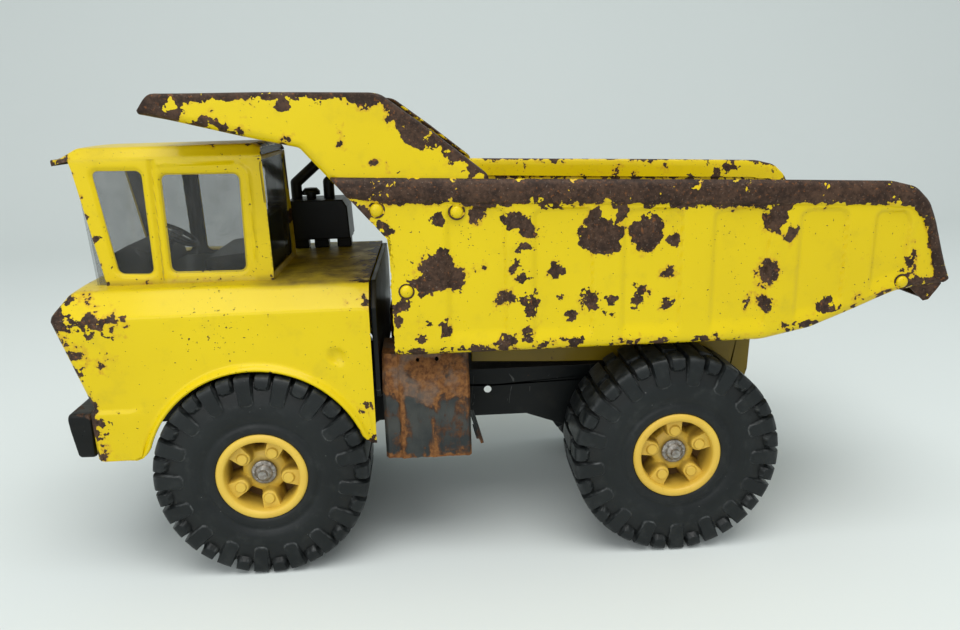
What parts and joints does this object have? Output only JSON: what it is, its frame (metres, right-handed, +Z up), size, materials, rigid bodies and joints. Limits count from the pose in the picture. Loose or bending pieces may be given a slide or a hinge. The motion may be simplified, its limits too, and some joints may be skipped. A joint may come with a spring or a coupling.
{
  "type": "toy dump truck",
  "caption": "Large pressed-steel toy dump truck with a tilting bed, a canopy over the cab, free-rolling knobbly tyres and a worn, rusty yellow finish.",
  "frame": {"origin": "centre of the bounding box's bottom face, on the ground between the wheels", "axes": "+X towards the front of the truck, +Y towards its left side, +Z up"},
  "size_m": [0.51, 0.195, 0.277],
  "materials": {
    "yellow_paint": "glossy enamel, chipped to dark rust along the rims",
    "black_paint": "satin black, dusty",
    "rusty_paint": "dark paint with orange rust",
    "black_plastic": "moulded, satin",
    "clear_plastic": "clear moulding, hazed and scratched",
    "lamp_plastic": "glossy",
    "tyre_rubber": "satin black, dusty",
    "yellow_plastic": "moulded, satin",
    "zinc_steel": "dull zinc with grime"
  },
  "bodies": {
    "chassis": {"body_shell": "yellow_paint", "cab_shell": "yellow_paint", "chassis_frame": "black_paint", "front_bumper": "black_paint", "rear_bulkhead": "black_paint", "side_step_left": "rusty_paint", "side_step_right": "rusty_paint", "engine_block": "black_plastic", "front_stack": "black_plastic", "rear_stack": "black_plastic", "air_cleaner": "black_plastic", "grille": "black_plastic", "cab_interior": "black_plastic", "steering_wheel": "black_plastic", "steering_column": "black_plastic", "cab_glazing": "clear_plastic", "headlamp_left": "lamp_plastic", "headlamp_right": "lamp_plastic", "front_axle": "zinc_steel", "rear_axle": "zinc_steel", "axle_spacers": "zinc_steel", "hinge_pin": "zinc_steel", "hinge_nuts": "zinc_steel", "axle_cap_front_left": "zinc_steel", "axle_cap_front_right": "zinc_steel", "axle_cap_rear_left": "zinc_steel", "axle_cap_rear_right": "zinc_steel"},
    "dump_bed": {"bed_tub": "yellow_paint", "bed_canopy": "yellow_paint", "bed_rivets": "yellow_paint", "bed_subframe": "yellow_paint"},
    "wheel_front_left": {"tyre_front_left": "tyre_rubber", "hub_front_left": "yellow_plastic"},
    "wheel_front_right": {"tyre_front_right": "tyre_rubber", "hub_front_right": "yellow_plastic"},
    "wheel_rear_left": {"tyre_rear_left": "tyre_rubber", "hub_rear_left": "yellow_plastic"},
    "wheel_rear_right": {"tyre_rear_right": "tyre_rubber", "hub_rear_right": "yellow_plastic"}
  },
  "joints": [
    {"name": "bed_tilt", "type": "hinge", "parent": "chassis", "child": "dump_bed", "pos_m": [-0.15, 0, 0.095], "axis": [0, -1, 0], "range_deg": [0, 60]},
    {"name": "spin_front_left", "type": "hinge", "parent": "chassis", "child": "wheel_front_left", "pos_m": [0.142, 0.069, 0.062], "axis": [0, 1, 0], "continuous": true},
    {"name": "spin_front_right", "type": "hinge", "parent": "chassis", "child": "wheel_front_right", "pos_m": [0.142, -0.069, 0.062], "axis": [0, 1, 0], "continuous": true},
    {"name": "spin_rear_left", "type": "hinge", "parent": "chassis", "child": "wheel_rear_left", "pos_m": [-0.102, 0.069, 0.062], "axis": [0, 1, 0], "continuous": true},
    {"name": "spin_rear_right", "type": "hinge", "parent": "chassis", "child": "wheel_rear_right", "pos_m": [-0.102, -0.069, 0.062], "axis": [0, 1, 0], "continuous": true}
  ]
}
